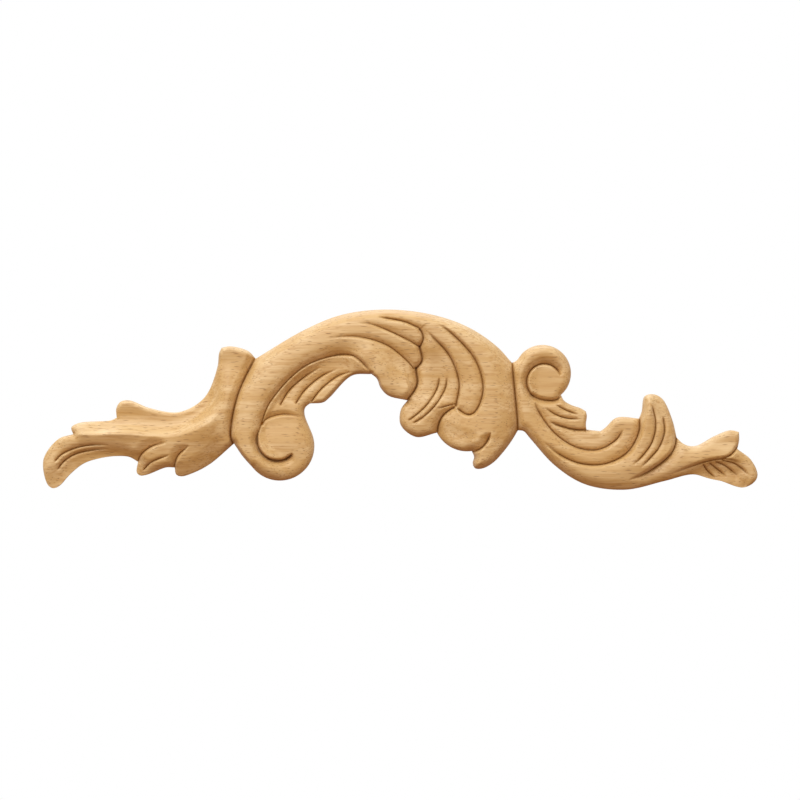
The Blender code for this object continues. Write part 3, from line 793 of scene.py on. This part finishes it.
def add(tree: Tree, kind: str, settings: dict[str, object], inputs: dict[str | int, object]
        ) -> bpy.types.Node:
    """Adds a shader node with its settings and inputs.

    Args:
        tree: The tree that gets it.
        kind: The node's type without its prefix.
        settings: The node's own properties.
        inputs: As for feed.

    Returns:
        The node.
    """
    node = tree.nodes.new("ShaderNode" + kind)
    for name, value in settings.items():
        setattr(node, name, value)
    feed(tree, node, inputs)
    return node


def new_material(name: str, inputs: dict[str, object]) -> bpy.types.Material:
    """Starts a material.

    Args:
        name: Its name.
        inputs: What its Principled shader starts with.

    Returns:
        The material.
    """
    material = bpy.data.materials.new(name)
    material.use_nodes = True
    feed(material.node_tree, material.node_tree.nodes["Principled BSDF"], inputs)
    return material


def placed(name: str, data: bpy.types.ID) -> bpy.types.Object:
    """Adds an object to the scene, at the origin.

    Args:
        name: Its name.
        data: Its mesh, light or camera.

    Returns:
        The object.
    """
    thing = bpy.data.objects.new(name, data)
    bpy.context.scene.collection.objects.link(thing)
    return thing


@dataclass(frozen=True)
class RawHardwood:
    """Rubberwood, carved and sanded smooth, with no varnish.

    It gives a pale tan with faint darker bands along the board, fine fibres and short brown
    pores that lie along the grain, and a dull, slightly silky surface. Painted shade darkens
    the grooves and lowers their gloss.
    """

    name: str = "Raw rubberwood, sanded"
    pale: str = "#e2c289"
    tan: str = "#d3ac69"
    late_wood: str = "#c2934e"
    pore: str = "#9c6e33"
    # Colour of the painted shade that the grooves are multiplied towards.
    painted_shade_colour: str = "#a27c38"
    roughness: float = 0.56
    gloss: float = 0.9
    band_mm: tuple[float, float, float] = (90.0, 3.5, 5.0)
    # Real fibres are far finer than a pixel. They are drawn this coarse so that they show.
    fibre_mm: tuple[float, float, float] = (17.0, 0.6, 0.7)
    pore_mm: tuple[float, float, float] = (5.5, 0.36, 0.42)
    noise_detail: float = 3.0
    band_roughness: float = 0.55
    band_wander: float = 0.4
    band_range: Point = (0.36, 0.66)
    streak_range: Point = (0.46, 0.7)
    streak_share: float = 0.72
    pore_range: Point = (0.36, 0.12)
    pore_share: float = 0.45
    pore_depth_mm: float = 0.06
    fibre_depth_mm: float = 0.03
    ior: float = 1.5
    sheen: float = 0.1
    sheen_roughness: float = 0.5

    def at(self, tree: Tree, place: Socket, size_mm: tuple[float, float, float]) -> Socket:
        """Object coordinates counted in features of a given size, so their scale is 1."""
        per_metre = tuple(1.0 / (size * MM) for size in size_mm)
        return add(tree, "VectorMath", {"operation": "MULTIPLY"}, {0: place, 1: per_metre}).outputs[0]

    def grain(self, tree: Tree, place: Socket) -> tuple[Socket, Socket]:
        """The wood's colour and its height in metres.

        A Mix node takes its two colours at inputs 6 and 7 and gives the mixed one at output 2.

        Args:
            tree: The material's tree.
            place: Object coordinates.

        Returns:
            Colour socket and height socket.
        """
        bands = add(tree, "TexNoise", {}, {
            "Vector": self.at(tree, place, self.band_mm), "Scale": 1.0,
            "Detail": self.noise_detail, "Roughness": self.band_roughness,
            "Distortion": self.band_wander})
        fibres = add(tree, "TexNoise", {}, {
            "Vector": self.at(tree, place, self.fibre_mm), "Scale": 1.0,
            "Detail": self.noise_detail})
        cells = add(tree, "TexVoronoi", {}, {
            "Vector": self.at(tree, place, self.pore_mm), "Scale": 1.0})
        pale = add(tree, "MapRange", {"interpolation_type": "SMOOTHSTEP"}, {
            "Value": bands.outputs[0], "From Min": self.band_range[0],
            "From Max": self.band_range[1]})
        wood = add(tree, "Mix", {"data_type": "RGBA"}, {
            0: pale.outputs[0], 6: linear(self.tan), 7: linear(self.pale)})
        streak = add(tree, "MapRange", {}, {
            "Value": fibres.outputs[0], "From Min": self.streak_range[0],
            "From Max": self.streak_range[1], "To Max": self.streak_share})
        streaked = add(tree, "Mix", {"data_type": "RGBA"}, {
            0: streak.outputs[0], 6: wood.outputs[2], 7: linear(self.late_wood)})
        hollow = add(tree, "MapRange", {"interpolation_type": "SMOOTHSTEP"}, {
            "Value": cells.outputs[0], "From Min": self.pore_range[0],
            "From Max": self.pore_range[1]})
        chosen = add(tree, "Math", {"operation": "LESS_THAN"}, {
            0: cells.outputs[1], 1: self.pore_share})
        pores = add(tree, "Math", {"operation": "MULTIPLY"}, {
            0: hollow.outputs[0], 1: chosen.outputs[0]})
        coloured = add(tree, "Mix", {"data_type": "RGBA"}, {
            0: pores.outputs[0], 6: streaked.outputs[2], 7: linear(self.pore)})
        raised = add(tree, "Math", {"operation": "MULTIPLY"}, {
            0: fibres.outputs[0], 1: self.fibre_depth_mm * MM})
        height = add(tree, "Math", {"operation": "MULTIPLY_ADD"}, {
            0: pores.outputs[0], 1: -self.pore_depth_mm * MM, 2: raised.outputs[0]})
        return coloured.outputs[2], height.outputs[0]

    def material(self) -> bpy.types.Material:
        """Builds the material.

        Returns:
            A new material.
        """
        material = new_material(self.name, {
            "Roughness": self.roughness, "IOR": self.ior, "Metallic": 0.0,
            "Sheen Weight": self.sheen, "Sheen Roughness": self.sheen_roughness})
        tree = material.node_tree
        colour, height = self.grain(tree, add(tree, "TexCoord", {}, {}).outputs["Object"])
        # Painted shade: the mesh's share darkens the colour towards the shade colour in the grooves and
        # lowers the gloss there.
        painted_shade = add(tree, "Attribute", {"attribute_name": "painted_shade"}, {}).outputs["Fac"]
        gloss = add(tree, "Math", {"operation": "MULTIPLY_ADD"}, {
            0: painted_shade, 1: -self.gloss, 2: self.gloss})
        shaded = add(tree, "Mix", {"data_type": "RGBA", "blend_type": "MULTIPLY"}, {
            0: painted_shade, 6: colour, 7: linear(self.painted_shade_colour)})
        bump = add(tree, "Bump", {}, {"Height": height, "Distance": 1.0})
        feed(tree, tree.nodes["Principled BSDF"], {
            "Base Color": shaded.outputs[2], "Normal": bump.outputs[0],
            "Specular IOR Level": gloss.outputs[0]})
        return material


@dataclass(frozen=True)
class SawnBack:
    """The same board's back as the saw left it: paler, rougher, with marks across the grain."""

    name: str = "Raw rubberwood, sawn"
    wood: RawHardwood = RawHardwood(pale="#dcb887", tan="#c99c66")
    roughness: float = 0.72
    tooth_mm: float = 1.3
    mark_depth_mm: float = 0.06
    wander: float = 1.2
    wander_detail: float = 1.0
    wander_scale: float = 0.4

    def material(self) -> bpy.types.Material:
        """Builds the material: the wood's grain, with a wave along X for the saw's teeth.

        Returns:
            A new material.
        """
        material = new_material(self.name, {
            "Roughness": self.roughness, "IOR": self.wood.ior, "Metallic": 0.0})
        tree = material.node_tree
        place = add(tree, "TexCoord", {}, {}).outputs["Object"]
        colour, height = self.wood.grain(tree, place)
        teeth = add(tree, "TexWave", {"bands_direction": "X"}, {
            "Vector": place, "Scale": 2.0 * pi / (WAVE_RATE * self.tooth_mm * MM),
            "Distortion": self.wander, "Detail": self.wander_detail,
            "Detail Scale": self.wander_scale})
        marked = add(tree, "Math", {"operation": "MULTIPLY_ADD"}, {
            0: teeth.outputs[1], 1: self.mark_depth_mm * MM, 2: height})
        bump = add(tree, "Bump", {}, {"Height": marked.outputs[0], "Distance": 1.0})
        feed(tree, tree.nodes["Principled BSDF"], {
            "Base Color": colour, "Normal": bump.outputs[0]})
        return material


@dataclass(frozen=True)
class Surface:
    """A mesh in millimetres: corners, triangles, the share of painted shade at each corner."""

    corners: Array
    triangles: Array
    painted_shade: Array
    back_triangles: int


@dataclass(frozen=True)
class CarvedApplique:
    """The board: three sections of strokes, worked into one closed surface.

    The height above the back is a level field, plus the crests, less the cuts. A cut has the
    profile of the gouge that made it, and a V tool's nick along its bottom.
    """

    wall: float = 4.0
    field: float = 7.9
    end_drop: float = 1.6
    end_drop_from: float = 85.0
    end_drop_over: float = 60.0
    least_wood: float = 2.0
    narrowing: float = 0.6
    cut_fade: float = 0.6
    nick_reach: float = 0.28
    nick_growth: float = 0.08
    # Share of painted shade in a cove as deep as full_cove, less in shallower ones.
    painted_cove_shade: float = 0.28
    full_cove: float = 4.0
    pitch: float = 0.38
    rim_rows: tuple[float, ...] = (0.07, 0.2, 0.42, 0.75, 1.1)
    row_spread: float = 0.9
    clearance: float = 0.2
    wall_rows: tuple[float, ...] = (0.7, 0.35, 0.0)
    block: int = 4000

    def sections(self) -> tuple[LeftLeaf, Arch, RightScroll]:
        """The three parts of the spray, left to right."""
        return LeftLeaf(), Arch(), RightScroll()

    def edges(self) -> list[Edge]:
        """The whole silhouette.

        Returns:
            Its stretches, clockwise from the left tip.
        """
        sections = self.sections()
        top = [edge for section in sections for edge in section.upper()]
        return top + [edge for section in reversed(sections) for edge in section.lower()]

    def in_blocks(self, at: Array) -> list[Array]:
        """The points in blocks small enough to be compared with a whole outline at once."""
        return np.array_split(at, len(at) // self.block + 1)

    def is_inside(self, at: Array, outline: Array) -> Array:
        """Even-odd rule: a point is inside if it has an odd number of edges to its right.

        Args:
            at: Points.
            outline: Closed outline, first point not repeated.

        Returns:
            True for each point inside.
        """
        start, end = outline, np.roll(outline, -1, axis=0)
        inside = []
        for block in self.in_blocks(at):
            level = block[:, 1:2]
            point, edge = np.nonzero((start[:, 1] > level) != (end[:, 1] > level))
            share = (block[point, 1] - start[edge, 1]) / (end[edge, 1] - start[edge, 1])
            crossing = start[edge, 0] + share * (end[edge, 0] - start[edge, 0])
            right = point[crossing > block[point, 0]]
            inside.append(np.bincount(right, minlength=len(block)) % 2 == 1)
        return np.concatenate(inside)

    def clear_of(self, at: Array, paths: list[Array], margin: float) -> Array:
        """The points that keep a margin to every path.

        Args:
            at: Points.
            paths: Polylines to keep away from.
            margin: Least distance.

        Returns:
            The points that stay.
        """
        kept = np.ones(len(at), dtype=bool)
        for path in paths:
            near = Curve.near(at, path, margin)
            if len(near):
                kept[near] &= Curve.along(at[near], path)[0] >= margin
        return at[kept]

    def net(self, edges: list[Edge], outline: Array, lines: list[Array]) -> Array:
        """Points that fill the outline: rows along the rim, and a staggered lattice.

        A row is the rim moved inwards by its depth. Every second row of the lattice is moved
        by half a pitch, so that its triangles are even.

        Args:
            edges: The silhouette.
            outline: The same as one closed polyline.
            lines: Lines of the cuts, which have points of their own.

        Returns:
            The points.
        """
        borders = [edge.path for edge in edges]
        rows = []
        for depth in self.rim_rows:
            row = np.vstack([Curve.beside(Curve.evenly(border, self.pitch), -depth)
                             for border in borders])
            row = row[self.is_inside(row, outline)]
            rows.append(self.clear_of(row, borders, depth * self.row_spread))
        low, high = outline.min(axis=0), outline.max(axis=0)
        x, z = np.meshgrid(np.arange(low[0], high[0], self.pitch),
                           np.arange(low[1], high[1], self.pitch * ROW_SHARE))
        x[1::2] += self.pitch / 2.0
        lattice = np.column_stack([x.ravel(), z.ravel()])
        lattice = lattice[self.is_inside(lattice, outline)]
        lattice = self.clear_of(lattice, borders, self.rim_rows[-1] + self.clearance)
        return self.clear_of(np.vstack(rows + [lattice]), lines, self.clearance)

    def plan(self, edges: list[Edge], cuts: list[Stroke]) -> tuple[Array, Array, int]:
        """The carved side seen flat: its points and triangles, with edges along every cut.

        Args:
            edges: The silhouette.
            cuts: The grooves, whose lines stay edges so that their bottoms are crisp.

        Returns:
            Points, triangles, and how many of the first points are the outline.
        """
        outline = np.vstack([Curve.evenly(edge.path, self.pitch)[:-1] for edge in edges])
        count = len(outline)
        chosen, links = [outline], [(i, (i + 1) % count) for i in range(count)]
        lines = []
        for cut in cuts:
            line = Curve.evenly(cut.path, self.pitch)
            line = line[self.is_inside(line, outline)]
            line = self.clear_of(line, [edge.path for edge in edges], self.clearance)
            first = sum(len(part) for part in chosen)
            chosen.append(line)
            lines.append(line)
            links += [(i, i + 1) for i in range(first, first + len(line) - 1)]
        points = np.vstack(chosen + [self.net(edges, outline, lines)])
        flat, _, faces, _, _, _ = delaunay_2d_cdt(
            [Vector(point) for point in points], links, [], INSIDE, MERGE_MM)
        return np.array([tuple(point) for point in flat]), np.array(faces), count

    def height(self, at: Array, edges: list[Edge]) -> tuple[Array, Array]:
        """Height of the carved face above the back, and the share of painted shade at each point.

        Crests are added. Cuts are taken off as the cube root of their summed cubes, so that
        crossing cuts run together. A nick is a straight V. The rim comes down to the wall in
        a quarter of an ellipse.

        Args:
            at: Points in millimetres.
            edges: The silhouette.

        Returns:
            Heights, and shares of painted shade in the grooves from 0 to 1.
        """
        outward = (np.abs(at[:, 0]) - self.end_drop_from) / self.end_drop_over
        wood = self.field - self.end_drop * eased(outward)
        cubes, painted_shade = np.zeros(len(at)), np.zeros(len(at))
        for section in self.sections():
            for crest in section.crests():
                near, rise, _, _ = crest.swept(at, 0.0, 1.0)
                wood[near] += rise
            for cut in section.cuts():
                near, depth, distance, fade = cut.swept(at, self.narrowing, self.cut_fade)
                reach = self.nick_reach + self.nick_growth * cut.amount
                nick = fade * np.clip(1.0 - distance / reach, 0.0, 1.0)
                depth = depth * (1.0 - cut.nick) + cut.amount * cut.nick * nick
                cubes[near] += depth ** 3
                # Painted shade: full along the bottom of each nick.
                if cut.nick:
                    painted_shade[near] = np.maximum(painted_shade[near], nick)
        depth = np.cbrt(cubes)
        # Painted shade also grows with the depth of the cuts, up to a share in the coves.
        painted_shade = np.maximum(painted_shade, self.painted_cove_shade * np.minimum(depth / self.full_cove, 1.0))
        wood = np.maximum(wood - depth, self.least_wood)
        rim = np.ones(len(at))
        for edge in edges:
            near = Curve.near(at, edge.path, edge.rounding)
            inward = np.clip(Curve.along(at[near], edge.path)[0] / edge.rounding, 0.0, 1.0)
            rim[near] = np.minimum(rim[near], np.sqrt(1.0 - (1.0 - inward) ** 2))
        return np.minimum(wood, self.wall) + np.maximum(wood - self.wall, 0.0) * rim, painted_shade

    def surface(self) -> Surface:
        """The closed form: carved face, upright wall in rows, and flat back.

        The wall repeats the outline at falling shares of the rim's height, and the back is
        the outline filled with triangles, turned the other way.

        Returns:
            The surface, in millimetres.
        """
        edges = self.edges()
        cuts = [cut for section in self.sections() for cut in section.cuts()]
        at, front, count = self.plan(edges, cuts)
        height, painted_shade = self.height(at, edges)
        corners = [np.column_stack([at[:, 0], -height, at[:, 1]])]
        triangles = [front[:, ::-1] if self.is_turned(at, front) else front]
        upper = np.arange(count)
        ahead = np.roll(upper, -1)
        total = len(at)
        for share in self.wall_rows:
            corners.append(np.column_stack([at[:count, 0], -height[:count] * share, at[:count, 1]]))
            lower = np.arange(total, total + count)
            following = np.roll(lower, -1)
            triangles += [np.column_stack([upper, ahead, lower]),
                          np.column_stack([ahead, following, lower])]
            upper, ahead, total = lower, following, total + count
        loop = [(i, (i + 1) % count) for i in range(count)]
        _, _, back, _, _, _ = delaunay_2d_cdt(
            [Vector(point) for point in at[:count]], loop, [], INSIDE, MERGE_MM)
        back = np.array(back)
        triangles.append(upper[0] + (back if self.is_turned(at, back) else back[:, ::-1]))
        # Painted shade on the carved face only, none on the wall and back.
        painted_corner_shade = np.zeros(total)
        painted_corner_shade[:len(at)] = painted_shade
        return Surface(np.vstack(corners), np.vstack(triangles), painted_corner_shade, len(back))

    @staticmethod
    def is_turned(at: Array, triangles: Array) -> bool:
        """True if the first triangle runs so that its normal would point to +Y."""
        a, b, c = at[triangles[0]]
        return (b[0] - a[0]) * (c[1] - a[1]) - (b[1] - a[1]) * (c[0] - a[0]) < 0.0

    def build(self, low: Vector, high: Vector) -> bpy.types.Object:
        """Makes the piece, fitted to the box of the solid that it stands for.

        Args:
            low: Lowest corner of the solid, in metres.
            high: Highest corner.

        Returns:
            The new object, at the origin.
        """
        surface = self.surface()
        drawn_low, drawn_high = surface.corners.min(axis=0), surface.corners.max(axis=0)
        share = (surface.corners - drawn_low) / (drawn_high - drawn_low)
        corners = np.array(low) + share * (np.array(high) - np.array(low))
        mesh = bpy.data.meshes.new("Carved board")
        mesh.from_pydata(corners, [], surface.triangles)
        # The painted shade of the grooves, as a point attribute for the material.
        painted_shade = mesh.attributes.new("painted_shade", "FLOAT", "POINT")
        painted_shade.data.foreach_set("value", surface.painted_shade)
        mesh.materials.append(RawHardwood().material())
        mesh.materials.append(SawnBack().material())
        slots = np.zeros(len(mesh.polygons), dtype=int)
        slots[-surface.back_triangles:] = 1
        mesh.polygons.foreach_set("material_index", slots)
        mesh.polygons.foreach_set("use_smooth", slots == 0)
        mesh.update()
        return placed("carved_board", mesh)


@dataclass(frozen=True)
class Softbox:
    """An area light that faces the piece from a direction."""

    name: str
    towards: tuple[float, float, float]
    distance: float
    size: tuple[float, float]
    power: float
    tint: str = "#eaf1fd"

    def place(self, target: Vector) -> None:
        """Adds the light, turned so that it shines at the target.

        Args:
            target: Point in metres.
        """
        light = bpy.data.lights.new(self.name, "AREA")
        light.shape = "RECTANGLE"
        light.size, light.size_y = self.size
        light.energy = self.power
        light.color = linear(self.tint)[:3]
        lamp = placed(self.name, light)
        away = Vector(self.towards).normalized()
        lamp.location = target + away * self.distance
        lamp.rotation_euler = away.to_track_quat("Z", "Y").to_euler()


@dataclass(frozen=True)
class Studio:
    """White surroundings, a large soft light above and a fill in front, and a long lens."""

    aim: tuple[float, float, float] = (-0.0002, 0.0, -0.0231)
    distance: float = 1.6
    frame_width: float = 0.336
    sensor: float = 36.0
    floor_level: float = -0.8
    floor_half: float = 2.5
    floor_paint: str = "#ece9e4"
    floor_roughness: float = 0.9
    dome: str = "#efe8e4"
    below: str = "#8c5c34"
    backdrop: str = "#ffffff"
    dome_axis: tuple[float, float, float] = (0.0, 0.2, 0.98)
    dome_fade: float = 0.7
    boxes: tuple[Softbox, ...] = (
        Softbox("Top softbox", (-0.3, -0.65, 0.7), 1.1, (0.6, 0.5), 6.4),
        Softbox("Rim softbox", (-0.1, 0.5, 0.87), 1.1, (0.9, 0.4), 5.9, "#d4e5ff"),
        Softbox("Front fill", (-0.1, -1.0, 0.1), 1.3, (0.8, 0.8), 4.0, "#fffaf2"),
    )

    def camera(self) -> None:
        """Puts the camera square in front.

        Its lens is sensor x distance / width of the frame.
        """
        lens = bpy.data.cameras.new("Camera")
        lens.sensor_width = self.sensor
        lens.lens = self.sensor * self.distance / self.frame_width
        camera = placed("Camera", lens)
        camera.location = Vector(self.aim) + Vector((0.0, -self.distance, 0.0))
        camera.rotation_euler = (radians(90.0), 0.0, 0.0)
        bpy.context.scene.camera = camera

    def surroundings(self) -> None:
        """A soft dome of light over the piece and dimness below it, on a white backdrop.

        The dome's strength rises smoothly from below the horizon to above it.
        """
        world = bpy.data.worlds.new("Studio")
        world.use_nodes = True
        tree = world.node_tree
        sky = tree.nodes["Background"]
        towards = add(tree, "TexCoord", {}, {}).outputs["Generated"]
        raised = add(tree, "VectorMath", {"operation": "DOT_PRODUCT"}, {
            0: towards, 1: self.dome_axis}).outputs["Value"]
        above = add(tree, "MapRange", {"interpolation_type": "SMOOTHSTEP"}, {
            "Value": raised, "From Min": -self.dome_fade, "From Max": self.dome_fade}).outputs[0]
        lit = add(tree, "Mix", {"data_type": "RGBA"}, {
            0: above, 6: linear(self.below), 7: linear(self.dome)}).outputs[2]
        seen = add(tree, "LightPath", {}, {}).outputs["Is Camera Ray"]
        shown = add(tree, "Mix", {"data_type": "RGBA"}, {
            0: seen, 6: lit, 7: linear(self.backdrop)}).outputs[2]
        tree.links.new(shown, sky.inputs["Color"])
        bpy.context.scene.world = world

    def floor(self) -> bpy.types.Object:
        """A pale floor below the frame.

        Returns:
            The floor.
        """
        half, level = self.floor_half, self.floor_level
        mesh = bpy.data.meshes.new("Floor")
        mesh.from_pydata([(-half, -half, level), (half, -half, level), (half, half, level),
                          (-half, half, level)], [], [(0, 1, 2, 3)])
        mesh.materials.append(new_material("Matt white paint", {
            "Base Color": linear(self.floor_paint), "Roughness": self.floor_roughness}))
        floor = placed("Floor", mesh)
        floor.visible_diffuse = False
        floor.visible_glossy = False
        return floor

    def build(self) -> bpy.types.Object:
        """Sets camera, surroundings, lights and floor.

        Returns:
            The floor.
        """
        self.camera()
        self.surroundings()
        for box in self.boxes:
            box.place(Vector(self.aim))
        bpy.context.scene.view_settings.view_transform = "Standard"
        return self.floor()


def main() -> None:
    """Loads the frame, builds the piece over its solid, and sets the studio."""
    logging.basicConfig(level=logging.INFO, format="%(name)s: %(message)s")
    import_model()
    piece = CarvedApplique().build(*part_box(NODE))
    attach(piece, BODY)
    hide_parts(NODE)
    LOG.info("%s: %d triangles", piece.name, len(piece.data.polygons))
    Studio().build()


if __name__ == "__main__":
    main()
